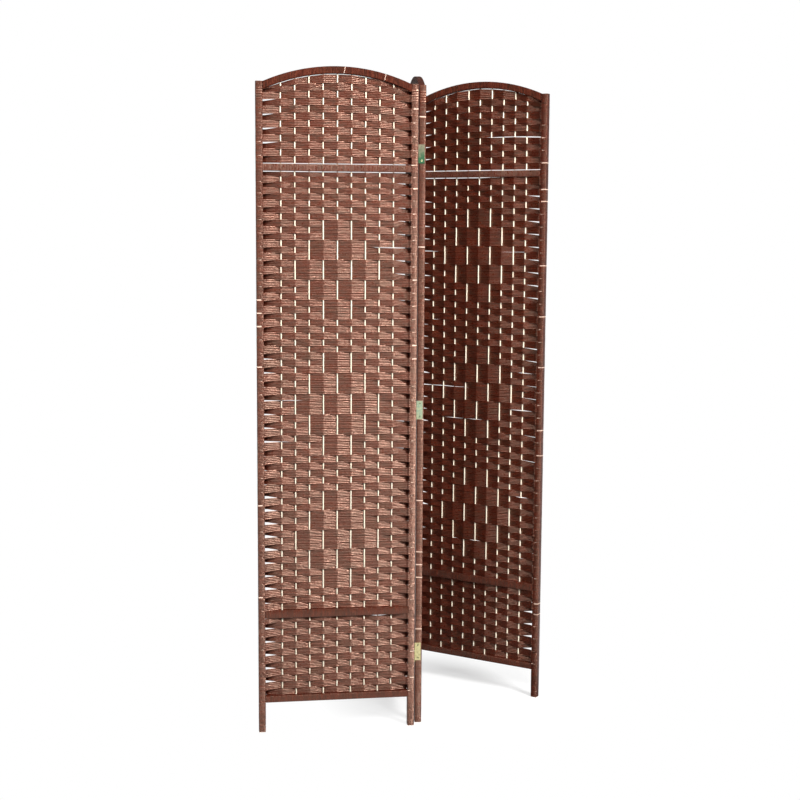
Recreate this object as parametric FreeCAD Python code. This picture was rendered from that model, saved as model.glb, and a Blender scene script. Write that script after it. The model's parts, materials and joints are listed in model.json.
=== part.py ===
import FreeCAD, Part
import math
import os

# Driving dimensions in millimetres and degrees
total_height = 1800.0
panel_width = 432.0
arch_rise = 42.0
stile_core = 17.4
wrap_thickness = 1.0
rail_inset = 1.0
rail_height = 19.0
lower_rail_height = 22.0
bottom_rail_level = 83.0
lower_rail_level = 320.0
upper_rail_drop = 231.0
foot_bare_length = 1.5

# Stakes and woven strips
stake_count = 9
stake_width = 4.2
stake_depth = 4.0
end_gap_in_pitches = 1.23
strip_thickness = 1.6
strip_stake_clearance = 0.5
strip_frame_clearance = 0.3
strip_edge_inset = 4.0
row_gap = 0.4
top_row_count = 8
middle_row_count = 44
bottom_row_count = 8
diamond_half_widths = (1, 2, 3, 2, 1)
diamond_block_row_count = 2
left_middle_diamond_rows = (5, 18, 32)
right_diamond_rows = (3, 18, 32)

# Butt hinges
hinge_length = 50.0
hinge_end_knuckle = 14.5
hinge_knuckle_clearance = 0.3
leaf_width = 18.6
leaf_thickness = 1.2
leaf_gap = 0.4
barrel_radius = 2.5
barrel_panel_clearance = 0.4
pin_radius = 1.2
pin_clearance = 0.05
hinge_foot_distance = 206.0
hinge_head_distance = 181.0
middle_hinge_level = 886.0

# Angles of the standing screen, each panel's left-to-right direction from the X axis
left_panel_angle = 4.0
middle_panel_angle = 90.0
right_panel_angle = -35.0

# Sizes that follow
stile_section = stile_core + 2 * wrap_thickness
rail_depth = stile_section - 2 * rail_inset
stile_height = total_height - arch_rise
upper_rail_level = stile_height - upper_rail_drop
inner_left = stile_section
inner_right = panel_width - stile_section
half_span = (inner_right - inner_left) / 2
arch_radius = (half_span ** 2 + arch_rise ** 2) / (2 * arch_rise)
arch_center_level = total_height - arch_radius
bottom_rail_top = bottom_rail_level + rail_height
lower_rail_top = lower_rail_level + lower_rail_height
upper_rail_top = upper_rail_level + rail_height
stake_pitch = 2 * half_span / (stake_count - 1 + 2 * end_gap_in_pitches)
first_stake = inner_left + end_gap_in_pitches * stake_pitch
stake_places = [first_stake + i * stake_pitch for i in range(stake_count)]
middle_stake = (stake_count + 1) // 2
face = stile_section / 2
edge_gap = 2 * leaf_thickness + leaf_gap
barrel_offset = face + barrel_radius + barrel_panel_clearance
hinge_levels = (hinge_foot_distance, middle_hinge_level, stile_height - hinge_head_distance)

EVEN = 0
ODD = 1
same_level = 1e-6
up = FreeCAD.Vector(0, 0, 1)


def box(x0, x1, y0, y1, z0, z1):
    return Part.makeBox(x1 - x0, y1 - y0, z1 - z0, FreeCAD.Vector(x0, y0, z0))


def centred_box(x0, x1, depth, z0, z1):
    return box(x0, x1, -depth / 2, depth / 2, z0, z1)


def stile(x0):
    """Square wooden post, with its left wrapped side at x0."""
    return centred_box(x0 + wrap_thickness, x0 + wrap_thickness + stile_core, stile_core, 0, stile_height)


def stile_wrap(x0):
    """Strip wound round a post, from just above the floor to the top."""
    outside = centred_box(x0, x0 + stile_section, stile_section, foot_bare_length, stile_height)
    return outside.cut(stile(x0))


def straight_rail(level, height):
    """Rail with the strip wound round it, between the two stiles."""
    return centred_box(inner_left, inner_right, rail_depth, level, level + height)


def arch_line(radius, x):
    """Level of a circle about the arch's centre, at a place across the panel."""
    return arch_center_level + math.sqrt(radius ** 2 - (x - panel_width / 2) ** 2)


def arch_arc(radius, x0, x1):
    ends = [FreeCAD.Vector(x, 0, arch_line(radius, x)) for x in (x0, panel_width / 2, x1)]
    return Part.Arc(*ends).toShape()


def arch_rail():
    """Bowed rail with the strip wound round it, upright at its ends."""
    inner_radius = arch_radius - rail_height
    outer = arch_arc(arch_radius, inner_left, inner_right)
    inner = arch_arc(inner_radius, inner_left, inner_right)
    sides = []
    for x in (inner_left, inner_right):
        low = FreeCAD.Vector(x, 0, arch_line(inner_radius, x))
        high = FreeCAD.Vector(x, 0, arch_line(arch_radius, x))
        sides.append(Part.makeLine(low, high))
    wire = Part.Wire(Part.__sortEdges__([outer, inner] + sides))
    rail = Part.Face(wire).extrude(FreeCAD.Vector(0, rail_depth, 0))
    rail.translate(FreeCAD.Vector(0, -rail_depth / 2, 0))
    return rail


def under_arch(x):
    """Highest level for what stands below the arch."""
    return arch_line(arch_radius - rail_height, x) - strip_frame_clearance


def stakes():
    """Upright stakes in three lengths, between each rail and the next one."""
    solids = []
    for x in stake_places:
        x0 = x - stake_width / 2
        x1 = x + stake_width / 2
        crown = min(under_arch(x0), under_arch(x1))
        solids.append(centred_box(x0, x1, stake_depth, bottom_rail_top, lower_rail_level))
        solids.append(centred_box(x0, x1, stake_depth, lower_rail_top, upper_rail_level))
        solids.append(centred_box(x0, x1, stake_depth, upper_rail_top, crown))
    return solids


def polygon(*points):
    return Part.Face(Part.makePolygon(list(points) + [points[0]]))


def strip_run(near, far):
    """Faces of one flat stretch of a strip between two stations: front, underside and back."""
    front_near, under_near, back_near = near
    front_far, under_far, back_far = far
    faces = [polygon(front_near, front_far, under_far, under_near)]
    faces.append(polygon(under_near, under_far, back_far, back_near))
    if abs((front_near - back_near).z - (front_far - back_far).z) < same_level:
        faces.append(polygon(back_near, back_far, front_far, front_near))
    else:
        faces.append(polygon(back_near, back_far, front_far))
        faces.append(polygon(back_near, front_far, front_near))
    return faces


def strip(stations):
    """Folded strip, thinned to its upper edge. A station is a place, a front side and two levels."""
    sections = []
    for x, y, low, high in stations:
        upper = FreeCAD.Vector(x, y, high)
        lower = FreeCAD.Vector(x, y, low)
        sections.append((upper, lower, FreeCAD.Vector(x, y + strip_thickness, low)))
    faces = [polygon(*sections[0]), polygon(*sections[-1])]
    for near, far in zip(sections, sections[1:]):
        faces += strip_run(near, far)
    shell = Part.makeShell(faces)
    shell.sewShape()
    solid = Part.Solid(shell)
    if solid.Volume < 0:
        solid.reverse()
    return solid


def strip_front(stake, parity):
    """Front side of a strip at a stake or stile: behind those of its own parity, before the others."""
    behind = stake % 2 == parity
    if stake in (0, stake_count + 1):
        return face - strip_edge_inset - strip_thickness if behind else strip_edge_inset - face
    reach = stake_depth / 2 + strip_stake_clearance
    return reach if behind else -reach - strip_thickness


def diamond_parity(row, stake, parity, diamond_rows):
    """Parity at a stake, changed where a diamond's blocks of rows take the stake up together."""
    for first in diamond_rows:
        block = (row - first) // diamond_block_row_count
        if 0 <= block < len(diamond_half_widths):
            if abs(stake - middle_stake) <= diamond_half_widths[block]:
                return block % 2
    return parity


def woven_rows(row_count, first_parity, floor, ceiling, diamond_rows=()):
    """Strips from the top down, sharing the height between floor and ceiling at every station."""
    places = [inner_left] + stake_places + [inner_right]
    solids = []
    for row in range(row_count):
        stations = []
        for stake, x in enumerate(places):
            parity = diamond_parity(row, stake, (first_parity + row) % 2, diamond_rows)
            pitch = (ceiling(x) - floor) / row_count
            high = ceiling(x) - row * pitch
            stations.append((x, strip_front(stake, parity), high - pitch + row_gap, high))
        solids.append(strip(stations))
    return solids


def weave(first_parity, diamond_rows):
    """The three woven fields of a panel. The strips change sides across the upper rail, as from row to row."""
    top_floor = upper_rail_top + strip_frame_clearance
    middle_floor = lower_rail_top + strip_frame_clearance
    bottom_floor = bottom_rail_top + strip_frame_clearance
    middle_ceiling = upper_rail_level - strip_frame_clearance
    bottom_ceiling = lower_rail_level - strip_frame_clearance
    middle_parity = (first_parity + top_row_count + 1) % 2

    def under_upper_rail(x):
        return middle_ceiling

    def under_lower_rail(x):
        return bottom_ceiling

    top = woven_rows(top_row_count, first_parity, top_floor, under_arch)
    middle = woven_rows(middle_row_count, middle_parity, middle_floor, under_upper_rail, diamond_rows)
    bottom = woven_rows(bottom_row_count, ODD, bottom_floor, under_lower_rail)
    return {"weave_top": top, "weave_middle": middle, "weave_bottom": bottom}


def panel(first_parity, diamond_rows):
    """All the pieces of one panel, its left edge at x = 0 and its front towards -Y."""
    right_stile_left = panel_width - stile_section
    pieces = {
        "left_stile": [stile(0)],
        "left_stile_wrap": [stile_wrap(0)],
        "right_stile": [stile(right_stile_left)],
        "right_stile_wrap": [stile_wrap(right_stile_left)],
        "arch_rail": [arch_rail()],
        "upper_rail": [straight_rail(upper_rail_level, rail_height)],
        "lower_rail": [straight_rail(lower_rail_level, lower_rail_height)],
        "bottom_rail": [straight_rail(bottom_rail_level, rail_height)],
        "stakes": stakes(),
    }
    pieces.update(weave(first_parity, diamond_rows))
    return pieces


def hinge_line_point(side, back, level):
    return FreeCAD.Vector(side * edge_gap / 2, back * barrel_offset, level)


def leaf_plate(side, back, reach, z0, z1):
    """Flat of a leaf on the edge face x = 0, from a depth named by reach to the panel's face."""
    x0, x1 = sorted((0, side * leaf_thickness))
    y0, y1 = sorted((back * face, back * reach))
    return box(x0, x1, y0, y1, z0, z1)


def knuckle(side, back, z0, z1):
    """Round about the hinge line, with the root that joins it to its leaf."""
    barrel = Part.makeCylinder(barrel_radius, z1 - z0, hinge_line_point(side, back, z0), up)
    return barrel.fuse(leaf_plate(side, back, barrel_offset, z0, z1))


def knuckle_levels(level):
    """Lower and upper ends of the three knuckles of a hinge."""
    low = level - hinge_length / 2
    high = level + hinge_length / 2
    first = (low, low + hinge_end_knuckle)
    last = (high - hinge_end_knuckle, high)
    return first, (first[1] + hinge_knuckle_clearance, last[0] - hinge_knuckle_clearance), last


def single_leaf(side, back, level):
    """Leaf with the bored knuckle, on a panel left (+1) or right (-1) of the hinge line."""
    first, middle, last = knuckle_levels(level)
    plate = leaf_plate(side, back, barrel_offset - leaf_width, first[0], last[1])
    bore_foot = hinge_line_point(side, back, middle[0])
    bore = Part.makeCylinder(pin_radius + pin_clearance, middle[1] - middle[0], bore_foot, up)
    return plate.fuse(knuckle(side, back, *middle)).cut(bore).removeSplitter()


def double_leaf(side, back, level):
    """Leaf with the two end knuckles and the pin that is riveted into them."""
    first, middle, last = knuckle_levels(level)
    plate = leaf_plate(side, back, barrel_offset - leaf_width, first[0], last[1])
    pin = Part.makeCylinder(pin_radius, last[0] - first[1], hinge_line_point(side, back, first[1]), up)
    ends = [knuckle(side, back, *first), knuckle(side, back, *last)]
    return plate.fuse(ends + [pin]).removeSplitter()


def turned(x, y, angle):
    c = math.cos(math.radians(angle))
    s = math.sin(math.radians(angle))
    return FreeCAD.Vector(c * x - s * y, s * x + c * y, 0)


def panel_origins():
    """Where each panel's left edge stands, so that neighbours share their hinge lines."""
    middle = FreeCAD.Vector(0, 0, 0)
    left_line = middle + turned(-edge_gap / 2, barrel_offset, middle_panel_angle)
    right_line = middle + turned(panel_width + edge_gap / 2, -barrel_offset, middle_panel_angle)
    left = left_line - turned(panel_width + edge_gap / 2, barrel_offset, left_panel_angle)
    right = right_line - turned(-edge_gap / 2, -barrel_offset, right_panel_angle)
    corners = []
    for origin, angle in ((left, left_panel_angle), (middle, middle_panel_angle), (right, right_panel_angle)):
        corners += [origin + turned(x, y, angle) for x in (0, panel_width) for y in (-face, face)]
    center_x = (min(c.x for c in corners) + max(c.x for c in corners)) / 2
    center_y = (min(c.y for c in corners) + max(c.y for c in corners)) / 2
    shift = FreeCAD.Vector(-center_x, -center_y, 0)
    for name, line in (("left", left_line), ("right", right_line)):
        print("hinge line", name, round((line + shift).x, 4), round((line + shift).y, 4))
    return left + shift, middle + shift, right + shift


def save(node, solids, origin, angle):
    shape = Part.makeCompound(solids) if len(solids) > 1 else solids[0]
    shape.rotate(FreeCAD.Vector(0, 0, 0), up, angle)
    shape.translate(origin)
    shape.exportStep(os.path.join("parts", node + ".step"))


def save_leaves(node, leaf, edge, side, back, origin, angle):
    """The three leaves of one kind on a panel's edge face."""
    solids = [leaf(side, back, level) for level in hinge_levels]
    for solid in solids:
        solid.translate(FreeCAD.Vector(edge, 0, 0))
    save(node, solids, origin, angle)


os.makedirs("parts", exist_ok=True)
left_origin, middle_origin, right_origin = panel_origins()
panels = (
    ("left", left_origin, left_panel_angle, ODD, left_middle_diamond_rows),
    ("middle", middle_origin, middle_panel_angle, ODD, left_middle_diamond_rows),
    ("right", right_origin, right_panel_angle, EVEN, right_diamond_rows),
)
for panel_name, origin, angle, first_parity, diamond_rows in panels:
    for piece, solids in panel(first_parity, diamond_rows).items():
        save(panel_name + "_" + piece, solids, origin, angle)

save_leaves("left_hinge_single_leaves", single_leaf, panel_width, 1, 1, left_origin, left_panel_angle)
save_leaves("left_hinge_double_leaves", double_leaf, 0, -1, 1, middle_origin, middle_panel_angle)
save_leaves("right_hinge_double_leaves", double_leaf, panel_width, 1, -1, middle_origin, middle_panel_angle)
save_leaves("right_hinge_single_leaves", single_leaf, 0, -1, -1, right_origin, right_panel_angle)
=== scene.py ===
import json
import math

import bmesh
import bpy
import numpy as np
from bpy.props import FloatProperty, FloatVectorProperty, IntProperty, PointerProperty
from mathutils import Matrix, Vector


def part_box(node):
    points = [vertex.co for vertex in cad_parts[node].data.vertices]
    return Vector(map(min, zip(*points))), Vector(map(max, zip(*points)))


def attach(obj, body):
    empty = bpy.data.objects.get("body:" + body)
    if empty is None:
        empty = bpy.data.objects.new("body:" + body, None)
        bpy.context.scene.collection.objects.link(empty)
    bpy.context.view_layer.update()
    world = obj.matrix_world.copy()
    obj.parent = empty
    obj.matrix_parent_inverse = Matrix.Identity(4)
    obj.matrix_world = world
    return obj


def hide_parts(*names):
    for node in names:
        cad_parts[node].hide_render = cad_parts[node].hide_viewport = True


bl_info = {
    "name": "Woven folding screen",
    "version": (1, 0, 0),
    "blender": (4, 5, 0),
    "location": "View3D > Sidebar > Screen",
    "description": "Woven strips, wound bars, stakes and hinges of a three-panel screen",
    "category": "Object",
}

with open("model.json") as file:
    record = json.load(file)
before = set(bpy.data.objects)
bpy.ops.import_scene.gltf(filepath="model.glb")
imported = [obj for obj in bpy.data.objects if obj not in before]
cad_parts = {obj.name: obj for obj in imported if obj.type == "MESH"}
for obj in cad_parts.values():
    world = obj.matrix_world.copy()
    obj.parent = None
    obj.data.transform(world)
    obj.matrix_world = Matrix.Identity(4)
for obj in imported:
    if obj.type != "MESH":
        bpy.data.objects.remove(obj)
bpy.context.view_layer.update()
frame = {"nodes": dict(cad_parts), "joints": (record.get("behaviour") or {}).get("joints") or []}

MM = 0.001
QUARTER_TURN = math.radians(90)
PANELS = ("left", "middle", "right")
RAILS = ("upper_rail", "lower_rail", "bottom_rail")
WORN_BARS = ("left_right_stile", "left_upper_rail", "middle_upper_rail", "right_upper_rail")
DULL_BARS = ("left_arch_rail", "right_arch_rail")
LAMPS = ("key", "softbox", "side")
FILM_WIDTH = 36
STRIP_MAP = "strip"


# Sizes of a panel, read from the middle one, which stands square to the axes: its width lies along Y.

def span(axis, node):
    """Where a node of the middle panel begins and ends along an axis."""
    return [getattr(corner, axis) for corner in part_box("middle_" + node)]


def extent(axis, node):
    low, high = span(axis, node)
    return high - low


PANEL_CORNER = span("y", "left_stile_wrap")[0]
PANEL_WIDTH = span("y", "right_stile_wrap")[1] - PANEL_CORNER
PANEL_MIDDLE = PANEL_WIDTH / 2
PANEL_PLANE = sum(span("x", "left_stile_wrap")) / 2
STILE_WIDTH = extent("y", "left_stile_wrap")
STILE_FOOT, STILE_TOP = span("z", "left_stile_wrap")
INNER_LEFT = STILE_WIDTH
INNER_RIGHT = PANEL_WIDTH - STILE_WIDTH
INNER_WIDTH = INNER_RIGHT - INNER_LEFT
RAIL_DEPTH = extent("x", "lower_rail")
RAIL_LEVELS = {rail: span("z", rail) for rail in RAILS}
ARCH_TOP = span("z", "arch_rail")[1]
ARCH_RISE = ARCH_TOP - STILE_TOP
ARCH_HEIGHT = extent("z", "upper_rail")
ARCH_RADIUS = ((INNER_WIDTH / 2) ** 2 + ARCH_RISE ** 2) / (2 * ARCH_RISE)
ARCH_CENTRE = ARCH_TOP - ARCH_RADIUS
STAKE_COUNT = 9
STAKE_DEPTH = extent("x", "stakes")
CAD_STAKE_WIDTH = STAKE_DEPTH * 1.05
FOLDS = {joint["name"]: joint for joint in frame["joints"]}
EDGE_CLEARANCE = PANEL_CORNER - FOLDS["left_fold"]["pos_m"][1]
BARREL_OFFSET = PANEL_PLANE - FOLDS["left_fold"]["pos_m"][0]


def panel_places():
    """Matrix from a panel's own corner, width along X and front to -Y, to where it stands."""
    places = {"middle": Matrix.Translation((PANEL_PLANE, PANEL_CORNER, 0)) @ Matrix.Rotation(QUARTER_TURN, 4, "Z")}
    from_corner = {"left": (PANEL_WIDTH + EDGE_CLEARANCE, BARREL_OFFSET), "right": (-EDGE_CLEARANCE, -BARREL_OFFSET)}
    for panel, (along, through) in from_corner.items():
        fold = FOLDS[panel + "_fold"]
        turn = Matrix.Rotation(QUARTER_TURN - math.radians(fold["range_deg"][1]), 4, "Z")
        line = Vector((*fold["pos_m"][:2], 0))
        places[panel] = Matrix.Translation(line - turn @ Vector((along, through, 0))) @ turn
    return places


PANEL_PLACES = panel_places()


# Settings

def linear(red, green, blue):
    """Scene colour for a colour as it is seen on a screen, from 0 to 255."""
    parts = [value / 255 for value in (red, green, blue)]
    return tuple(p / 12.92 if p <= 0.04045 else ((p + 0.055) / 1.055) ** 2.4 for p in parts)


def amount(label, text, default, **limits):
    return FloatProperty(name=label, description=text, default=default, **limits)


def whole(label, text, default, **limits):
    return IntProperty(name=label, description=text, default=default, **limits)


def length(label, text, millimetres):
    return amount(label, text, millimetres * MM, unit="LENGTH", precision=5)


def angle(label, text, degrees):
    return amount(label, text, math.radians(degrees), subtype="ANGLE")


def colour(label, text, red, green, blue):
    return FloatVectorProperty(name=label, description=text, default=linear(red, green, blue), subtype="COLOR",
                               size=3, min=0, max=1)


class ScreenWeaveSettings(bpy.types.PropertyGroup):
    strip_thickness: length("Strip thickness", "Thickness of a woven strip", 1.2)
    strip_width: length("Strip width", "Width of the strip before it is woven", 18)
    stake_width: length("Stake width", "Width of an upright stake", 3.7)
    stake_wander: length("Stake wander", "How far a stake strays from a straight line", 0.35)
    stake_clearance: length("Stake clearance", "Air between a stake and the strip that passes it", 0.5)
    row_gap: length("Row gap", "Air between a row and the next one, less than nothing where they overlap", -1.6)
    shingle: length("Shingle", "How far a strip's lower edge stands in front of its upper edge", 0.3)
    unevenness: length("Unevenness", "How far the edge of a strip wanders", 0.45)
    end_spread: length("End spread", "How far a strip fans out where it comes round the front of a stile", 3.0)
    spread_reach: length("Spread reach", "How far from a stile a strip begins to fan out", 46)
    end_slit: length("End slit", "Opening between two rows at a slit whose share is 1", 4.2)
    rail_slit: length("Rail slit", "Opening between the upper rail or the arch and the next row", 1.9)
    seed: whole("Seed", "Start of the uneven places", 7)


class ScreenBarSettings(bpy.types.PropertyGroup):
    squareness: amount("Squareness", "Section of a wound bar: 2 is round, more is squarer", 8, min=2)
    turn_play: amount("Turn play", "How much tighter some turns are than others", 0.02, subtype="FACTOR", min=0,
                      max=0.1)
    turn_gap: length("Turn gap", "Half of the groove between two turns", 0.03)
    bare_gap: length("Bare gap", "Widest opening between turns, where the wood shows", 4.4)
    wrap_thickness: length("Wrap thickness", "Thickness of the strip round a stile", 0.9)
    leg_slant: length("Leg slant", "How far a turn climbs across a leg", 1.6)
    leg_turns: whole("Leg turns", "Turns below the bottom rail", 5, min=1)
    top_turn: length("Top turn", "Height of the last turn on a stile", 15)
    rail_turns: whole("Rail turns", "Turns along a rail", 22, min=2)
    arch_gap: length("Arch gap", "Opening between two turns on an arch, where the wood shows", 1.5)
    arch_lean: amount("Arch lean", "How far such an opening leans, in turns", 0.12)
    strip_depth: length("Strip depth", "From the face of a wound arch to its wood", 0.8)


class ScreenHingeSettings(bpy.types.PropertyGroup):
    hinge_length: length("Hinge length", "Height of a hinge leaf", 50)
    leaf_thickness: length("Leaf thickness", "Thickness of a hinge leaf", 1.2)
    leaf_width: length("Leaf width", "Width of a hinge leaf, from the hinge line", 18.6)
    middle_level: length("Middle level", "Height of the middle hinge", 886)
    screw_spacing: length("Screw spacing", "Distance between the two screws of a leaf", 36)
    screw_radius: length("Screw radius", "Radius of a screw's head", 2.7)
    screw_rise: length("Screw rise", "How far a screw's head stands proud", 0.12)
    screw_sink: length("Screw sink", "How deep a screw's head sits in the leaf", 0.6)
    screw_bevel: length("Screw bevel", "Bevel at the rim of a screw's head", 0.25)
    slot_width: length("Slot width", "Width of a screw's slot", 0.56)


class ScreenColours(bpy.types.PropertyGroup):
    fibre_dark: colour("Fibre, dark", "Darkest cords of the strip", 45, 17, 9)
    fibre_middle: colour("Fibre, middle", "Body of the strip", 68, 24, 13)
    fibre_light: colour("Fibre, light", "Lightest cords of the strip", 94, 40, 25)
    fibre_red: colour("Fibre, red", "Redder stretches of the strip", 78, 22, 10)
    fibre_olive: colour("Fibre, olive", "Greener stretches of the strip", 58, 30, 16)
    stake_pale: colour("Stake, pale", "Body of a stake", 255, 246, 226)
    stake_shade: colour("Stake, shade", "Grain of a stake", 244, 224, 188)
    wood_pale: colour("Bare wood, pale", "Body of the bare wood", 250, 222, 202)
    wood_shade: colour("Bare wood, shade", "Grain of the bare wood", 226, 186, 160)
    brass_light: colour("Brass, light", "Clean brass", 226, 216, 166)
    # The hinges take the next three colours by height alone: the first on the higher hinges, the brown and the green on
    # the top one
    brass_dull: colour("Brass, dull", "Tarnished brass", 176, 166, 112)
    brass_pale_upper: colour("Brass, bloom", "Pale film on the higher hinges", 132, 154, 134)
    brass_brown_top: colour("Brass, stain", "Brown film on the highest hinges", 112, 94, 66)
    brass_green: colour("Brass, green", "Patina on the highest hinges", 28, 84, 48)
    screw_light: colour("Screw, light", "Body of a screw", 60, 82, 48)
    screw_dull: colour("Screw, dull", "Tarnished screw", 36, 54, 30)
    dull_gloss: amount("Dull gloss", "Shine of the dull bars, where woven strip has 1", 0.25, min=0)
    worn_gloss: amount("Worn gloss", "Shine of the worn bars, where woven strip has 1", 1.5, min=0)


class ScreenStageSettings(bpy.types.PropertyGroup):
    camera_place: FloatVectorProperty(name="Camera place", description="Where the camera stands", size=3,
                                      default=(-0.33064, -4.02487, 1.38550), subtype="TRANSLATION", unit="LENGTH")
    camera_pitch: angle("Camera pitch", "Tilt of the camera, up is positive", -7.008)
    camera_yaw: angle("Camera yaw", "Turn of the camera to its left", -4.583)
    camera_roll: angle("Camera roll", "Roll of the camera", 0.364)
    lens: amount("Lens", "Focal length for a 36 mm wide film", 63.74, unit="CAMERA")
    key_power: amount("Key power", "Power of the lamp in front", 68, unit="POWER")
    key_azimuth: angle("Key azimuth", "Direction of the lamp in front, from +X", -88)
    softbox_power: amount("Softbox power", "Power of the strongest lamp, at the right", 250, unit="POWER")
    softbox_azimuth: angle("Softbox azimuth", "Direction of the strongest lamp, from +X", -53.5)
    side_power: amount("Side power", "Power of the lamp at the left", 59, unit="POWER")
    side_azimuth: angle("Side azimuth", "Direction of the lamp at the left, from +X", -125)
    lamp_size: length("Lamp size", "Side of a square lamp", 1200)
    lamp_distance: length("Lamp distance", "From a lamp to the screen", 4300)
    lamp_elevation: angle("Lamp elevation", "Height of the lamps above the horizon", 30)
    fill_level: amount("Fill level", "Light from all around", 0.05, min=0)
    floor_size: length("Floor size", "Side of the square floor", 14000)
    shadow_share: amount("Shadow share", "How much of the floor's shading the camera sees", 0.5, subtype="FACTOR",
                         min=0, max=1)


# Shading

class Value:
    """A shader socket that can be used in sums; each sum adds a Math node."""

    def __init__(self, look, socket):
        self.look = look
        self.socket = socket

    def out(self, name):
        return Value(self.look, self.socket.node.outputs[name])

    def math(self, operation, other=0.0):
        return self.look.node("ShaderNodeMath", {0: self, 1: other}, operation=operation)

    def __add__(self, other):
        return self.math("ADD", other)

    __radd__ = __add__

    def __sub__(self, other):
        return self.math("SUBTRACT", other)

    def __rsub__(self, other):
        return self * -1.0 + other

    def __mul__(self, other):
        return self.math("MULTIPLY", other)

    def larger(self, other):
        return self.math("MAXIMUM", other)

    def clamped(self):
        return self.larger(0.0).math("MINIMUM", 1.0)

    def past(self, middle, weight):
        """How far the value is past a middle one, times a weight."""
        return (self - middle) * weight


class Look:
    """Node tree of a finish or of the world."""

    def __init__(self, tree):
        self.tree = tree

    def node(self, kind, inputs=None, **settings):
        """Adds a node and gives its first output in use."""
        made = self.tree.nodes.new(kind)
        for name, value in settings.items():
            setattr(made, name, value)
        for name, value in (inputs or {}).items():
            self.feed(made.inputs[name], value)
        return Value(self, next(socket for socket in made.outputs if socket.enabled))

    def feed(self, socket, value):
        if isinstance(value, Value):
            self.tree.links.new(value.socket, socket)
        elif hasattr(socket.default_value, "__len__") and len(socket.default_value) == 4 and len(value) == 3:
            socket.default_value = (*value, 1)
        else:
            socket.default_value = value

    def object_place(self):
        return self.node("ShaderNodeTexCoord").out("Object")

    def part(self, vector, axis):
        return self.node("ShaderNodeSeparateXYZ", {0: vector}).out(axis)

    def stretched(self, vector, share):
        """Place for a noise that is drawn out upwards."""
        return self.node("ShaderNodeMapping", {"Vector": vector, "Scale": (1.0, 1.0, share)})

    def noise(self, vector, scale, detail=2.0, roughness=0.5):
        return self.node("ShaderNodeTexNoise",
                         {"Vector": vector, "Scale": scale, "Detail": detail, "Roughness": roughness})

    def strip_noise(self, along, across, detail=2.0, roughness=0.6):
        return self.noise(self.node("ShaderNodeCombineXYZ", {"X": along, "Y": across}), 1.0, detail, roughness)

    def mix(self, share, first, second):
        """Mix of two colours, which are inputs 6 and 7 of the node."""
        return self.node("ShaderNodeMix", {0: share, 6: first, 7: second}, data_type="RGBA")

    def ramp(self, share, first, middle, last):
        """Three colours, at 0, a half and 1."""
        made = self.node("ShaderNodeValToRGB", {"Fac": share})
        stops = made.socket.node.color_ramp.elements
        stops.new(0.5)
        for stop, shade in zip(stops, (first, middle, last)):
            stop.color = (*shade, 1)
        return made

    def bump(self, height, strength, distance):
        return self.node("ShaderNodeBump", {"Height": height, "Strength": strength, "Distance": distance})

    def blend(self, share, first, second, output):
        """Sends a blend of two shaders to the output node."""
        both = self.node("ShaderNodeMixShader", {0: share, 1: first, 2: second})
        self.tree.links.new(both.socket, self.tree.nodes[output].inputs["Surface"])


class Finish(Look):
    """A material with one Principled surface."""

    def __init__(self, name, **constants):
        self.material = bpy.data.materials.new(name)
        self.material.use_nodes = True
        super().__init__(self.material.node_tree)
        self.surface = self.tree.nodes["Principled BSDF"]
        for socket, value in constants.items():
            self.set(socket.replace("_", " "), value)

    def set(self, socket, value):
        self.feed(self.surface.inputs[socket], value)


# Noise cycles a metre across the grain, and roughness
BARE_GRAIN = (420.0, 0.5)
STAKE_GRAIN = (700.0, 0.45)
CORDS_PER_STRIP = 5
LACQUER_IOR = 2.0
LACQUER_LEVEL = 0.38
LACQUER_TINT = (1.0, 0.63, 0.47)
# Heights on the hinges, in metres: where they begin to grow paler, above which the top hinge is browner and green, and
# where the green fades out
PALING_START = 0.5
TOP_HINGE_START = 1.5
GREEN_END = 1.583


def fibre_finish(name, colours, gloss):
    """Strip of lacquered paper cords side by side; across counts strips and along counts strip widths."""
    look = Finish(name, IOR=LACQUER_IOR, Specular_IOR_Level=LACQUER_LEVEL * gloss, Specular_Tint=LACQUER_TINT)
    place = look.node("ShaderNodeUVMap", uv_map=STRIP_MAP)
    along = look.part(place, "X")
    across = look.part(place, "Y")
    row = across.math("FLOOR")
    strip_tone = look.node("ShaderNodeTexWhiteNoise", {"W": row}, noise_dimensions="1D")
    cords = (across * (CORDS_PER_STRIP * math.pi)).math("SINE").math("ABSOLUTE")
    stretch = look.strip_noise(along * 0.3, row * 5.3, 1.0, 0.5)
    streak = look.strip_noise(along * 0.6, across * 3.0)
    speckle = look.strip_noise(along * 2.4, across * 5.0)
    # The tone adds painted shade: darker in the grooves between the cords and lighter on their crests, where the bump
    # is low and high
    tone = streak.past(0.5, 2.4) + speckle.past(0.5, 1.6) + strip_tone.past(0.5, 0.25) + cords.past(0.6, 0.35) + 0.5
    body = look.ramp(tone, colours.fibre_dark, colours.fibre_middle, colours.fibre_light)
    reddened = look.mix(stretch.past(0.5, 2.4), body, colours.fibre_red)
    look.set("Base Color", look.mix(stretch.past(0.46, -2.4), reddened, colours.fibre_olive))
    shine = (speckle.past(0.5, 3.0) + streak.past(0.5, 2.0) + 0.5).clamped()
    look.set("Roughness", 0.44 + max(1 - gloss, 0) * 0.4 - shine * 0.2)
    look.set("Normal", look.bump(cords * 1.5 + speckle * 1.3 + streak * 0.7, 1.0, 0.5 * MM))
    return look.material


def grained_finish(name, pale, shade, grain, roughness):
    """Wood with its grain upright."""
    look = Finish(name, Specular_IOR_Level=0.4)
    place = look.object_place()
    fine = look.noise(look.stretched(place, 0.06), grain, 3.0, 0.6)
    broad = look.noise(place, grain * 0.04)
    look.set("Base Color", look.mix(fine * 1.3 + broad * 0.8 - 0.75, pale, shade))
    look.set("Roughness", roughness + fine * 0.2)
    look.set("Normal", look.bump(fine, 0.3, 0.2 * MM))
    return look.material


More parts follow.
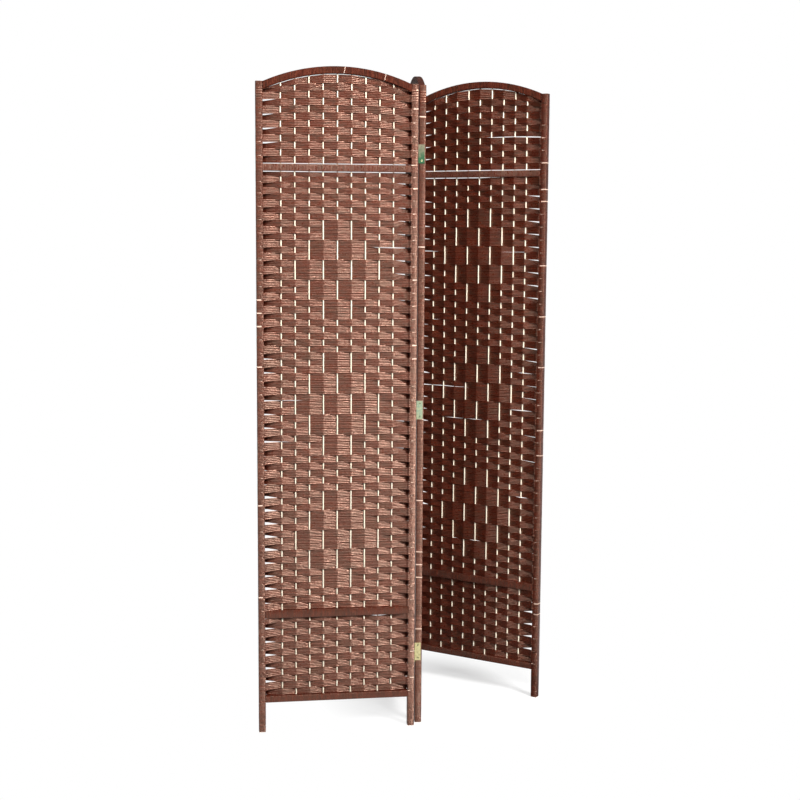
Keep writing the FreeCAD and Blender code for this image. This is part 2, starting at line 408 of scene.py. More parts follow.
def brass_finish(name, light, dull, pale_upper, brown_top, green_top):
    """Brass, clean on the low hinges and green on the high ones."""
    look = Finish(name)
    place = look.object_place()
    tarnish = look.noise(place, 140.0, 3.0, 0.6)
    blotch = look.noise(place, 60.0, 2.0, 0.6)
    brushed = look.noise(look.stretched(place, 0.08), 900.0)
    # Paler and less metallic above a height, browner and green on the top hinge, by height alone
    height = look.part(place, "Z")
    paling = (height.past(PALING_START, 2.0) + tarnish.past(0.5, 2.0)).clamped()
    high = height.past(TOP_HINGE_START, 1000.0).clamped()
    green = (blotch.past(0.5, 4.0) + height.past(GREEN_END, -50.0) + 0.4).clamped() * high
    brass = look.mix(tarnish.past(0.45, 3.0), light, dull)
    pale = look.mix(paling, brass, look.mix(high * 0.8, pale_upper, brown_top))
    look.set("Base Color", look.mix(green, pale, green_top))
    look.set("Metallic", 1.0 - paling.larger(green))
    look.set("Roughness", 0.3 + tarnish * 0.25 + green * 0.3)
    look.set("Normal", look.bump(brushed + green * 0.5, 0.12, 0.1 * MM))
    return look.material


def finish_named(make, name, *given):
    """The finish if an earlier operator made it, or a new one."""
    return bpy.data.materials.get(name) or make(name, *given)


def fibre(context):
    return finish_named(fibre_finish, "twisted_fibre", context.scene.screen_colours, 1.0)


def bar_fibre(context, bar):
    """Finish of the strip round a bar."""
    colours = context.scene.screen_colours
    if bar in WORN_BARS:
        return finish_named(fibre_finish, "worn_fibre", colours, colours.worn_gloss)
    if bar in DULL_BARS:
        return finish_named(fibre_finish, "dull_fibre", colours, colours.dull_gloss)
    return fibre(context)


def bare_wood(context):
    colours = context.scene.screen_colours
    return finish_named(grained_finish, "bare_wood", colours.wood_pale, colours.wood_shade, *BARE_GRAIN)


def dress(node, material):
    """Puts a finish on a node of the frame."""
    mesh = frame["nodes"][node].data
    if not mesh.materials:
        mesh.materials.append(material)
    for number in range(len(mesh.materials)):
        mesh.materials[number] = material


# Modelling

def deselect():
    bpy.ops.object.select_all(action="DESELECT")


def pick(piece):
    """Makes a piece the active one and the only one selected."""
    deselect()
    piece.select_set(True)
    bpy.context.view_layer.objects.active = piece


def cylinder(sides, radius, height, **more):
    """A cylinder that stands on the origin."""
    deselect()
    bpy.ops.mesh.primitive_cylinder_add(vertices=sides, radius=radius, depth=height, location=(0, 0, height / 2),
                                        **more)
    bpy.ops.object.transform_apply(location=True, rotation=True, scale=True)
    return bpy.context.object


def join(pieces):
    pick(pieces[0])
    for piece in pieces[1:]:
        piece.select_set(True)
    bpy.ops.object.join()
    return pieces[0]


def apply_modifier(piece, kind, **settings):
    modifier = piece.modifiers.new(kind.lower(), kind)
    for name, value in settings.items():
        setattr(modifier, name, value)
    bpy.context.view_layer.objects.active = piece
    bpy.ops.object.modifier_apply(modifier=modifier.name)


def select(piece, kind, wanted):
    """In edit mode, selects the edges or faces for which wanted holds."""
    bpy.ops.mesh.select_mode(type=kind)
    bpy.ops.mesh.select_all(action="DESELECT")
    shape = bmesh.from_edit_mesh(piece.data)
    for element in shape.edges if kind == "EDGE" else shape.faces:
        element.select_set(wanted(element))
    bmesh.update_edit_mesh(piece.data)


def points_of(piece):
    points = np.empty(len(piece.data.vertices) * 3)
    piece.data.vertices.foreach_get("co", points)
    return points.reshape(-1, 3)


def move_points(piece, x, y, z):
    piece.data.vertices.foreach_set("co", np.column_stack((x, y, z)).ravel())
    piece.data.update()


def repeat(piece, count):
    """Makes copies in the same place, to be moved apart; gives the number of the copy and the place of each point."""
    per_copy = len(piece.data.vertices)
    apply_modifier(piece, "ARRAY", count=count, use_relative_offset=False)
    points = points_of(piece)
    return np.arange(len(points)) // per_copy, points


def map_strip(piece, along, number, share):
    """Gives each corner its place along its strip, and across it as the strip's number and a share of its width."""
    mesh = piece.data
    layer = mesh.uv_layers[0]
    layer.name = STRIP_MAP
    margin = 0.02
    across = number + margin + (1 - 2 * margin) * share
    corners = np.empty(len(mesh.loops), dtype=np.int32)
    mesh.loops.foreach_get("vertex_index", corners)
    layer.data.foreach_set("uv", np.column_stack((along[corners], across[corners])).ravel())


def settle(piece, name, panel, material, slot, *nodes):
    """Names a piece made at its panel's own corner, puts it where the panel stands, and ties it to the panel."""
    piece.name = name
    piece.data.name = name
    piece.data.transform(PANEL_PLACES[panel])
    piece.data.materials.clear()
    piece.data.materials.append(material)
    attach(piece, panel + "_panel")
    if nodes:
        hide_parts(*nodes)


def smooth(piece, degrees):
    pick(piece)
    bpy.ops.object.shade_smooth_by_angle(angle=math.radians(degrees))


def turn_outwards(piece):
    pick(piece)
    bpy.ops.object.mode_set(mode="EDIT")
    bpy.ops.mesh.select_all(action="SELECT")
    bpy.ops.mesh.normals_make_consistent(inside=False)
    bpy.ops.object.mode_set(mode="OBJECT")


def arch_edge(along, radius):
    """Height of the arch's edge of that radius at places along the panel."""
    return ARCH_CENTRE + np.sqrt(radius ** 2 - (along - PANEL_MIDDLE) ** 2)


def arch_levels(along, inset=0):
    """Lower and upper edge of the arch, each that far inside its face."""
    return arch_edge(along, ARCH_RADIUS - ARCH_HEIGHT + inset), arch_edge(along, ARCH_RADIUS - inset)


def stake_places():
    low, high = span("y", "stakes")
    first = low + CAD_STAKE_WIDTH / 2 - PANEL_CORNER
    last = high - CAD_STAKE_WIDTH / 2 - PANEL_CORNER
    return np.linspace(first, last, STAKE_COUNT)


# Weave

def by_panel(left, right):
    """The middle panel, whose faces aren't seen from the camera, is woven like the left one."""
    return {"left": left, "middle": left, "right": right}


FIELDS = ("top", "middle", "bottom")
# The rail below a field and the one above it, from the foot up; the arch is above the top field
FIELD_RAILS = {
    "bottom": ("bottom_rail", "lower_rail"),
    "middle": ("lower_rail", "upper_rail"),
    "top": ("upper_rail", None),
}
DIAMOND_WIDTHS = (1, 2, 3, 2, 1)
BLOCK_ROWS = 3
DIAMOND_STARTS = by_panel((8, 28, 48), (5, 27, 47))
# Fields whose highest row passes in front of the stiles
FRONT_FIRST = by_panel(("top", "bottom"), ("middle", "bottom"))
# Rows from the top of a field, and how far down the field their upper edge lies
ROWS = by_panel({
    "top": ((0, 0), (1, 0.096), (12, 1)),
    "middle": ((0, 0), (1, 0.0097), (4, 0.0473), (8, 0.1059), (23, 0.3291), (28, 0.4038), (43, 0.6405), (48, 0.7224),
               (63, 0.9515), (66, 1)),
    "bottom": ((0, 0), (1, 0.055), (12, 1)),
}, {
    "top": ((0, 0), (1, 0.1255), (12, 1)),
    "middle": ((0, 0), (1, 0.0173), (3, 0.0439), (5, 0.0743), (20, 0.3051), (27, 0.4131), (42, 0.6451), (47, 0.7232),
               (62, 0.9557), (65, 1)),
    "bottom": ((0, 0), (1, 0.089), (4, 0.312), (8, 0.651), (12, 1)),
})
# Slits between rows: the first and the last space between uprights that a slit crosses, its share of the usual
# opening, and the numbers of rows above such slits
SLITS = by_panel({
    "top": ((0, 0, 0.8, (3, 5, 7, 9)),),
    "middle": (
        (0, 0, 1.0, (49, 51, 53, 55, 57, 63)), (0, 0, 0.4, (29, 31, 37, 39, 59, 61)),
        (0, 1, 0.7, (41,)), (0, 2, 0.35, (35,)), (8, 8, 0.1, (23,)), (7, 9, 0.6, (12,)),
        (9, 9, 1.2, (14, 16, 38)), (9, 9, 0.9, (2, 4, 6, 8, 10, 20, 42)), (9, 9, 0.6, (34, 52)),
    ),
    "bottom": ((0, 0, 0.4, (6, 8, 10)), (0, 0, 0.15, (2, 4))),
}, {
    "top": ((0, 0, 0.8, (2, 4, 6, 8, 10)), (5, 9, 0.6, (7,))),
    "middle": (
        (0, 0, 1.0, (4, 6, 8, 20, 32, 54)), (0, 1, 0.5, (12,)), (0, 4, 0.35, (34,)),
        (0, 0, 0.6, (10, 14, 16, 18, 26, 28, 36, 38, 40, 52)), (0, 0, 0.3, (24, 30, 42, 48, 50, 58, 60)),
        (1, 1, 0.1, (23,)), (2, 5, 0.15, (39,)), (3, 5, 0.1, (59,)), (7, 8, 0.1, (12,)),
        (7, 9, 0.5, (37,)), (8, 9, 0.5, (31, 51)), (9, 9, 1.2, (7, 15, 17, 19, 27, 29, 41, 45)),
        (9, 9, 1.0, (3, 5, 9, 11, 13, 33, 35)), (9, 9, 0.7, (49, 53, 57, 59, 61, 63)),
    ),
    "bottom": ((9, 9, 1.0, (4, 6, 8, 10)),),
})
# Where the slit under the arch or rail at the top of a field begins and ends, as shares of the rail, and how many
# times the usual opening it is
RAIL_SLITS = by_panel(
    {"top": (0.06, 0.74, 0.8), "middle": (-0.1, 1.1, 1), "bottom": (0.68, 0.92, 1.6)},
    {"top": (0.06, 0.74, 0.8), "middle": (-0.1, 0.62, 1), "bottom": (0, 0, 0)},
)
RAIL_SLIT_TAPER = 0.06
# How much of the arch's bow is left at the lower edge of the rows below it
BOW_LEFT = ((0, 1), (1, 0.46), (2, 0.26), (3, 0.2), (12, 0))
# How far a strip runs on at a stile and where it bends next to the left and the right one, in stile widths; how much
# of its swing it has made there; and where it bends next to a stake's middle, in stake widths
TUCK = 0.3
LEFT_BEND = 0.45
RIGHT_BEND = 0.28
BEND_SHARE = 0.3
STAKE_BEND = 0.3
# How far a strip stays inside the stile's face, and how much deeper its end lies
STILE_MARGIN = 0.1 * MM
END_DIP = 0.6 * MM
# Share of the fanning that the top field has and that the right ends have, and how it grows towards a stile
TOP_SPREAD = 0.2
RIGHT_SPREAD = 0.4
SPREAD_POWER = 1.5
# How soon along a slit its rows stop overlapping
SLIT_ONSET = 4


def row_count(panel, field):
    return ROWS[panel][field][-1][0]


def field_levels(field, along):
    """Lower and upper edge of a field at places along the panel."""
    below, above = FIELD_RAILS[field]
    level = np.ones_like(along)
    top = level * RAIL_LEVELS[above][0] if above else arch_levels(along)[0]
    return level * RAIL_LEVELS[below][1], top


def row_levels(settings, panel, field, along):
    """Height between the rows of a field, from the top, at places along the panel."""
    number = np.arange(row_count(panel, field) + 1)
    bottom, top = field_levels(field, along)
    crown = field_levels(field, np.array(PANEL_MIDDLE))[1]
    across = (along - INNER_LEFT) / INNER_WIDTH
    first, last, times = RAIL_SLITS[panel][field]
    taper = np.clip(np.minimum(across - first, last - across) / RAIL_SLIT_TAPER, 0, 1)
    highest = crown - settings.rail_slit * times * taper
    lowest = bottom + (settings.rail_slit if field == "top" else 0)
    share = np.interp(number, *zip(*ROWS[panel][field]))[:, None]
    bow = np.interp(number, *zip(*BOW_LEFT))[:, None]
    return highest + (lowest - highest) * share - (crown - top) * bow


def alternating(count):
    return np.where(np.arange(count) % 2 == 0, 1, -1)


def row_sides(panel, field):
    """For each row and each upright, stiles included: 1 where the strip passes in front, -1 behind."""
    first = 1 if field in FRONT_FIRST[panel] else -1
    sides = first * np.outer(alternating(row_count(panel, field)), alternating(STAKE_COUNT + 2))
    if field == "middle":
        centre = (STAKE_COUNT + 1) // 2
        for start in DIAMOND_STARTS[panel]:
            for block, half in enumerate(DIAMOND_WIDTHS):
                row = start + block * BLOCK_ROWS + BLOCK_ROWS // 2
                sides[row, centre - half:centre + half + 1] *= -1
    return sides


def slit_shape(along, first, last):
    """Share of a slit's opening at each place: full at a stile, else the same from one end of the slit to the other."""
    uprights = np.concatenate(([INNER_LEFT], stake_places(), [INNER_RIGHT]))
    start, stop = uprights[first], uprights[last + 1]
    if first == 0:
        shape = (stop - along) / (stop - start)
    elif last == STAKE_COUNT:
        shape = (along - start) / (stop - start)
    else:
        shape = np.minimum(along - start, stop - along) / MM
    return 1 - (1 - np.clip(shape, 0, 1)) ** 3


class SCREEN_OT_weave(bpy.types.Operator):
    """Weaves the strips of all fields round the stakes and stiles"""

    bl_idname = "screen.weave"
    bl_label = "Woven strips"

    def execute(self, context):
        settings = context.scene.screen_weave
        material = fibre(context)
        serial = 0
        for panel in PANELS:
            for field in FIELDS:
                piece = self.strips(settings, panel, field, serial)
                serial += row_count(panel, field)
                apply_modifier(piece, "SOLIDIFY", thickness=settings.strip_thickness, offset=0,
                               use_even_offset=True)
                settle(piece, f"{panel}_strips_{field}", panel, material, "fibre_strip", f"{panel}_weave_{field}")
        return {"FINISHED"}

    def columns(self, settings):
        """Places along a strip, and for each one the two uprights it lies between and its share of the way."""
        bend = settings.stake_width * STAKE_BEND
        tuck = STILE_WIDTH * TUCK
        last = STAKE_COUNT + 1
        places = [(INNER_LEFT - tuck, 0, 0, 0), (INNER_LEFT, 0, 0, 0),
                  (INNER_LEFT + STILE_WIDTH * LEFT_BEND, 0, 1, BEND_SHARE)]
        for number, stake in enumerate(stake_places(), 1):
            places += [(stake - bend, number, number, 0), (stake + bend, number, number, 0)]
        places += [(INNER_RIGHT - STILE_WIDTH * RIGHT_BEND, last - 1, last, 1 - BEND_SHARE),
                   (INNER_RIGHT, last, last, 0), (INNER_RIGHT + tuck, last, last, 0)]
        return places

    def strips(self, settings, panel, field, serial):
        """Repeats a flat strip for each row, takes it to its height and folds it round the uprights."""
        columns = self.columns(settings)
        deselect()
        bpy.ops.mesh.primitive_grid_add(x_subdivisions=len(columns) - 1, y_subdivisions=1, size=1)
        piece = bpy.context.object
        row, flat = repeat(piece, row_count(panel, field))
        column = np.rint((flat[:, 0] + 0.5) * (len(columns) - 1)).astype(int)
        upper = np.rint(flat[:, 1] + 0.5)
        along = np.array([place for place, *_ in columns])
        sides = row_sides(panel, field)
        depth = self.depths(settings, columns, sides)
        low, high = self.edges(settings, panel, field, along, sides, serial)
        x = along[column]
        y = depth[row, column] + settings.shingle * (upper - 0.5)
        z = np.where(upper > 0, high[row, column], low[row, column])
        move_points(piece, x, y, z)
        map_strip(piece, x / settings.strip_width, serial + row, upper)
        return piece

    def depths(self, settings, columns, sides):
        """How far each strip lies behind the panel's middle plane at each column."""
        at_stake = STAKE_DEPTH / 2 + settings.stake_clearance + settings.strip_thickness / 2
        at_stile = STILE_WIDTH / 2 - settings.strip_thickness / 2 - STILE_MARGIN
        reach = np.full(STAKE_COUNT + 2, at_stake)
        reach[[0, -1]] = at_stile
        swing = -sides * reach
        depth = np.empty((len(sides), len(columns)))
        for number, (_, before, after, share) in enumerate(columns):
            depth[:, number] = swing[:, before] * (1 - share) + swing[:, after] * share
        depth[:, [0, -1]] *= 1 - END_DIP / at_stile
        return depth

    def edges(self, settings, panel, field, along, sides, serial):
        """Lower and upper edge of each row at each column."""
        chance = np.random.default_rng(settings.seed + serial)
        levels = row_levels(settings, panel, field, np.clip(along, INNER_LEFT, INNER_RIGHT))
        high = levels[:-1] - settings.row_gap / 2
        low = levels[1:] + settings.row_gap / 2
        high[0] = levels[0]
        low[-1] = levels[-1]
        wander = chance.normal(0, settings.unevenness / 2, (2, *high.shape))
        soft = (wander + np.roll(wander, 1, axis=2) + np.roll(wander, -1, axis=2)) / 2
        soft[0, -1] = 0
        soft[1, 0] = 0
        near = np.clip(1 - (along - INNER_LEFT) / settings.spread_reach, 0, 1) ** SPREAD_POWER
        far = np.clip(1 - (INNER_RIGHT - along) / settings.spread_reach, 0, 1) ** SPREAD_POWER
        front = (sides[:, 0] > 0)[:, None]
        spread = front * settings.end_spread * (TOP_SPREAD if field == "top" else 1)
        low = low + soft[0] - spread * near - RIGHT_SPREAD * spread * far
        high = high + soft[1] + RIGHT_SPREAD * spread * far
        for first, last, share, bounds in SLITS[panel][field]:
            shape = slit_shape(along, first, last)
            opening = settings.end_slit * share * shape - settings.row_gap * np.minimum(SLIT_ONSET * shape, 1)
            for bound in bounds:
                if sides[bound - 1, 0] < 0:
                    low[bound - 1] += opening
                else:
                    high[bound] -= opening
        return low, high


# Wound bars

# Numbers of the first strips round the stiles and the rails, past those of the woven rows
STILE_SERIAL = 1000
RAIL_SERIAL = 3000
# Openings between turns on a stile: how many of the likely places have one, its share of the widest one, how far it
# reaches from the inner side of a left (1) or right (-1) stile, in stile widths, and how many go all the way across
GAP_CHANCE = 0.9
GAP_SHARES = (0.7, 1.0)
GAP_REACHES = {1: (0.5, 0.75), -1: (0.6, 1.0)}
WIDE_CHANCE = 0.25
WIDE_REACH = 4.0
NO_GAP_REACH = 0.5
# Rows at the top of a stile without openings, and the slant of the turns above the legs as a share of theirs
CLOSED_TOP_ROWS = 3
UPPER_SLANT = 0.25
# How far the turns on a rail stray along it and lean, in turns
RAIL_STRAY = 0.05
RAIL_LEAN = 0.03
# Turns to the left of each opening on an arch
ARCH_GAPS = {"left": (12, 18), "middle": (4, 16), "right": ()}
SECTION_POINTS = 16


def wound_turns(settings, across, through, turns, hollow=False):
    """Turns of strip round an upright bar, all in one place; hollow leaves room for the bar.

    Gives the piece, and for each point its turn, its share of the turn's width and its place in the section.
    """
    piece = cylinder(SECTION_POINTS, 1, 1, end_fill_type="NOTHING" if hollow else "NGON")
    points = points_of(piece)
    flat = np.sign(points[:, :2]) * np.abs(points[:, :2]) ** (2 / settings.squareness)
    move_points(piece, flat[:, 0] * across / 2, flat[:, 1] * through / 2, points[:, 2])
    if hollow:
        apply_modifier(piece, "SOLIDIFY", thickness=settings.wrap_thickness, offset=-1, use_even_offset=True)
    number, points = repeat(piece, turns)
    return piece, number, points[:, 2], points[:, 0], points[:, 1]


def stile_bounds(weave, bars, panel, edge):
    """Heights between the turns on a stile, from the foot up, in step with the rows at its inner edge."""
    at_edge = np.array([edge])
    bounds = list(np.linspace(STILE_FOOT, RAIL_LEVELS["bottom_rail"][0], bars.leg_turns + 1))
    for field, (below, above) in FIELD_RAILS.items():
        rows = row_levels(weave, panel, field, at_edge)[::-1, 0]
        bounds += [RAIL_LEVELS[below][1], *rows[1:-1]]
        if above:
            bounds.append(RAIL_LEVELS[above][0])
    lower = [level for level in bounds if level < STILE_TOP - 2 * bars.top_turn]
    return np.array(lower + [STILE_TOP - bars.top_turn, STILE_TOP])


class SCREEN_OT_stile_turns(bpy.types.Operator):
    """Winds strip round each stile, with the bare wood showing between some turns"""

    bl_idname = "screen.stile_turns"
    bl_label = "Wound stiles"

    def execute(self, context):
        weave = context.scene.screen_weave
        bars = context.scene.screen_bars
        serial = STILE_SERIAL
        for panel in PANELS:
            for side, inward, edge, outer in (("left", 1, INNER_LEFT, 0), ("right", -1, INNER_RIGHT, PANEL_WIDTH)):
                bounds = stile_bounds(weave, bars, panel, edge)
                turns = len(bounds) - 1
                piece, number, share, across, through = wound_turns(bars, STILE_WIDTH, STILE_WIDTH, turns, True)
                opening, reach = self.gaps(bars, panel, inward, turns)
                self.wind(piece, bars, bounds, opening, reach, number, share, across, through, inward)
                piece.data.transform(Matrix.Translation(((edge + outer) / 2, 0, 0)))
                smooth(piece, 40)
                map_strip(piece, (across + through) / weave.strip_width, serial + number, share)
                serial += turns
                material = bar_fibre(context, f"{panel}_{side}_stile")
                settle(piece, f"{panel}_{side}_stile_turns", panel, material, "fibre_strip",
                       f"{panel}_{side}_stile_wrap")
        return {"FINISHED"}

    def gaps(self, bars, panel, inward, turns):
        """Opening at the inner side and how far across the stile it reaches, for the groove above each turn."""
        chance = np.random.default_rng(len(panel) * 10 + inward)  # a seed for each stile
        opening = np.zeros(turns + 1)
        reach = np.full(turns + 1, NO_GAP_REACH)
        lowest = bars.leg_turns + 1
        for field in FIELD_RAILS:
            rows = row_count(panel, field)
            sides = row_sides(panel, field)[::-1, 0]
            for row in range(rows - CLOSED_TOP_ROWS if field == "top" else rows):
                if sides[row] * inward > 0 and chance.random() < GAP_CHANCE:
                    opening[lowest + row] = bars.bare_gap * chance.uniform(*GAP_SHARES)
                    reach[lowest + row] = chance.uniform(*GAP_REACHES[inward])
                    if chance.random() < WIDE_CHANCE:
                        reach[lowest + row] = WIDE_REACH
            lowest += rows + 1
        return opening, reach

    def wind(self, piece, bars, bounds, opening, reach, number, share, across, through, inward):
        """Takes each turn to its height, opens the grooves and slants the turns on the leg."""
        half = STILE_WIDTH / 2
        inner = (inward * across / half + 1) / 2

        def groove(bound):
            wedge = np.clip((inner - 1 + reach[bound]) / reach[bound], 0, 1)
            return bars.turn_gap + opening[bound] / 2 * wedge

        low = bounds[number] + groove(number)
        high = bounds[number + 1] - groove(number + 1)
        on_leg = (number < bars.leg_turns) & (number > 0)
        slant = bars.leg_slant * np.where(on_leg, 1, UPPER_SLANT)
        lift = -slant * across * through / half ** 2
        free = np.minimum(number + share, len(bounds) - 1 - number - share)
        z = low + (high - low) * share + lift * np.clip(free, 0, 1)
        size = 1 - bars.turn_play * np.random.default_rng(len(bounds)).random(len(bounds))[number]
        move_points(piece, across * size, through * size, z)


class SCREEN_OT_rail_turns(bpy.types.Operator):
    """Winds strip round the arch and the three straight rails of each panel"""

    bl_idname = "screen.rail_turns"
    bl_label = "Wound rails"

    def execute(self, context):
        weave = context.scene.screen_weave
        bars = context.scene.screen_bars
        wood = bare_wood(context)
        serial = RAIL_SERIAL
        for panel in PANELS:
            for rail in ("arch_rail",) + RAILS:
                self.wind(bars, weave, panel, rail, serial, bar_fibre(context, f"{panel}_{rail}"))
                serial += bars.rail_turns
            self.core(bars, panel, wood)
        return {"FINISHED"}

    def core(self, bars, panel, material):
        """Wood of an arch, seen where two turns stand apart."""
        depth = RAIL_DEPTH - 2 * bars.strip_depth
        piece, number, share, through, up = wound_turns(bars, depth, ARCH_HEIGHT, bars.rail_turns)
        x = INNER_LEFT + (number + share) * INNER_WIDTH / bars.rail_turns
        low, high = arch_levels(x, bars.strip_depth)
        move_points(piece, x, -through, low + (high - low) * (up / ARCH_HEIGHT + 0.5))
        turn_outwards(piece)
        smooth(piece, 20)
        settle(piece, f"{panel}_arch_core", panel, material, "frame_wood")

    def wind(self, bars, weave, panel, rail, serial, material):
        """Lays the turns along the rail, each a little askew."""
        arched = rail == "arch_rail"
        height = ARCH_HEIGHT if arched else extent("z", rail)
        piece, number, share, through, up = wound_turns(bars, RAIL_DEPTH, height, bars.rail_turns)
        chance = np.random.default_rng(serial)
        stray = chance.normal(0, RAIL_STRAY, bars.rail_turns + 1)
        lean = chance.normal(0, RAIL_LEAN, bars.rail_turns + 1)
        stray[[0, -1]] = 0
        lean[[0, -1]] = 0
        gap = np.zeros(bars.rail_turns + 1)
        if arched:
            openings = list(ARCH_GAPS[panel])
            gap[openings] = bars.arch_gap
            lean[openings] = bars.arch_lean
        end = np.rint(share).astype(int)
        bound = number + end
        turns = number + share + stray[bound] + lean[bound] * up / height * 2
        x = INNER_LEFT + turns * INNER_WIDTH / bars.rail_turns + gap[bound] * (0.5 - end)
        low, high = arch_levels(x) if arched else RAIL_LEVELS[rail]
        move_points(piece, x, -through, low + (high - low) * (up / height + 0.5))
        map_strip(piece, (through + up) / weave.strip_width, serial + number, share)
        turn_outwards(piece)
        smooth(piece, 20)
        settle(piece, f"{panel}_{rail}_turns", panel, material, "fibre_strip", f"{panel}_{rail}")


class SCREEN_OT_bare_wood(bpy.types.Operator):
    """Gives the stiles the finish of bare wood, seen at the feet and between the turns"""

    bl_idname = "screen.bare_wood"
    bl_label = "Bare wood of the stiles"

    def execute(self, context):
        material = bare_wood(context)
        for panel in PANELS:
            for side in ("left", "right"):
                dress(f"{panel}_{side}_stile", material)
        return {"FINISHED"}


# Stakes and hinges

STAKE_SIDES = 8
STAKE_CUTS = 6
# How far a screw turns with its height, in radians a metre, so that each slot has a direction of its own
SCREW_TURN = 40
# Share of a screw's head that its slot is deep
SLOT_DEPTH = 0.6


class SCREEN_OT_stakes(bpy.types.Operator):
    """Sets the nine pale stakes of each panel between its rails"""

    bl_idname = "screen.stakes"
    bl_label = "Stakes"

    def execute(self, context):
        weave = context.scene.screen_weave
        colours = context.scene.screen_colours
        material = finish_named(grained_finish, "ivory_stake", colours.stake_pale, colours.stake_shade, *STAKE_GRAIN)
        for panel in PANELS:
            piece = join([self.row_of_stakes(weave, field, panel) for field in FIELDS])
            smooth(piece, 60)
            settle(piece, f"{panel}_stake_row", panel, material, "stake_wood", f"{panel}_stakes")
        return {"FINISHED"}

    def row_of_stakes(self, weave, field, panel):
        """One rounded stake, divided along its length, repeated at each stake's place and cut to its length."""
        piece = cylinder(STAKE_SIDES, 0.5, 1, rotation=(0, 0, math.pi / STAKE_SIDES))
        bpy.ops.object.mode_set(mode="EDIT")
        select(piece, "EDGE", lambda edge: edge.verts[0].co.z != edge.verts[1].co.z)
        bpy.ops.mesh.subdivide(number_cuts=STAKE_CUTS)
        bpy.ops.object.mode_set(mode="OBJECT")
        number, points = repeat(piece, STAKE_COUNT)
        chance = np.random.default_rng(len(panel) + len(field))  # a seed from the names
        wander = chance.normal(0, weave.stake_wander, (STAKE_COUNT, STAKE_CUTS + 2))
        step = np.rint(points[:, 2] * (STAKE_CUTS + 1)).astype(int)
        place = stake_places()[number]
        low, high = field_levels(field, place)
        x = place + points[:, 0] * weave.stake_width + wander[number, step]
        move_points(piece, x, points[:, 1] * STAKE_DEPTH, low + (high - low) * points[:, 2])
        return piece


class SCREEN_OT_hinges(bpy.types.Operator):
    """Gives the hinges their brass and sets two slotted screws in each leaf"""

    bl_idname = "screen.hinges"
    bl_label = "Hinges and screws"

    # Panel, which of its edges, which way the hinge line lies from its middle plane, and node
    leaves = (
        ("left", 1, 1, "left_hinge_single_leaves"),
        ("middle", -1, 1, "left_hinge_double_leaves"),
        ("middle", 1, -1, "right_hinge_double_leaves"),
        ("right", -1, -1, "right_hinge_single_leaves"),
    )

    def execute(self, context):
        settings = context.scene.screen_hinges
        colours = context.scene.screen_colours
        material = finish_named(brass_finish, "worn_brass", colours.brass_light, colours.brass_dull,
                                colours.brass_pale_upper, colours.brass_brown_top, colours.brass_green)
        screw_material = finish_named(brass_finish, "dull_screw", colours.screw_light, colours.screw_dull,
                                      colours.screw_light, colours.screw_light, colours.brass_light)
        for panel, edge, back, node in self.leaves:
            dress(node, material)
            low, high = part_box(node)
            first = low.z + settings.hinge_length / 2
            last = high.z - settings.hinge_length / 2
            levels = [level + offset * settings.screw_spacing for level in (first, settings.middle_level, last)
                      for offset in (-0.5, 0.5)]
            piece = join([self.screw(settings, edge, back, level) for level in levels])
            smooth(piece, 40)
            settle(piece, node.replace("leaves", "screws"), panel, screw_material, "hinge_brass")
        return {"FINISHED"}

    def screw(self, settings, edge, back, level):
        """Low countersunk head with a slot, turned to look out of the panel's edge."""
        radius = settings.screw_radius
        height = settings.screw_sink + settings.screw_rise
        slot = settings.slot_width / 2

        def on_rim(edge):
            middle = (edge.verts[0].co + edge.verts[1].co) / 2
            return middle.z > height * 0.99 and middle.xy.length > radius * 0.9

        piece = cylinder(SECTION_POINTS, radius, height)
        bpy.ops.object.mode_set(mode="EDIT")
        for side in (-slot, slot):
            bpy.ops.mesh.select_all(action="SELECT")
            bpy.ops.mesh.bisect(plane_co=(side, 0, 0), plane_no=(1, 0, 0))
        select(piece, "FACE", lambda face: face.normal.z > 0.9 and abs(face.calc_center_median().x) < slot)
        bpy.ops.mesh.extrude_region_move(TRANSFORM_OT_translate={"value": (0, 0, -SLOT_DEPTH * height)})
        select(piece, "EDGE", on_rim)
        bpy.ops.mesh.bevel(offset=settings.screw_bevel, segments=1, affect="EDGES")
        bpy.ops.object.mode_set(mode="OBJECT")
        base = (PANEL_WIDTH if edge > 0 else 0) + edge * (settings.leaf_thickness - settings.screw_sink)
        middle = back * (BARREL_OFFSET - settings.leaf_width + STILE_WIDTH / 2) / 2
        turn = Matrix.Rotation(QUARTER_TURN * edge, 4, "Y") @ Matrix.Rotation(level * SCREW_TURN, 4, "Z")
        piece.data.transform(Matrix.Translation((base, middle, level)) @ turn)
        return piece


# Stage

WHITE = (1.0, 1.0, 1.0)
WARM_WHITE = (1.0, 0.97, 0.94)
FLOOR_WHITE = (0.95, 0.95, 0.95)
FLOOR_GREY = (0.1, 0.1, 0.1)
# Patch of floor whose shading the camera sees: its middle, its radius and the width of its soft rim, in metres, and
# how much brighter the white is there
PATCH_PLACE = (0.2, 0.07, 0.0)
PATCH_RADIUS = 0.2
PATCH_RIM = 0.25
PATCH_GLOW = 0.18
# Share of the white backdrop that is mirrored, and how fast it sets in behind the screen
MIRRORED_SHARE = 0.12
MIRRORED_RISE = 3.0


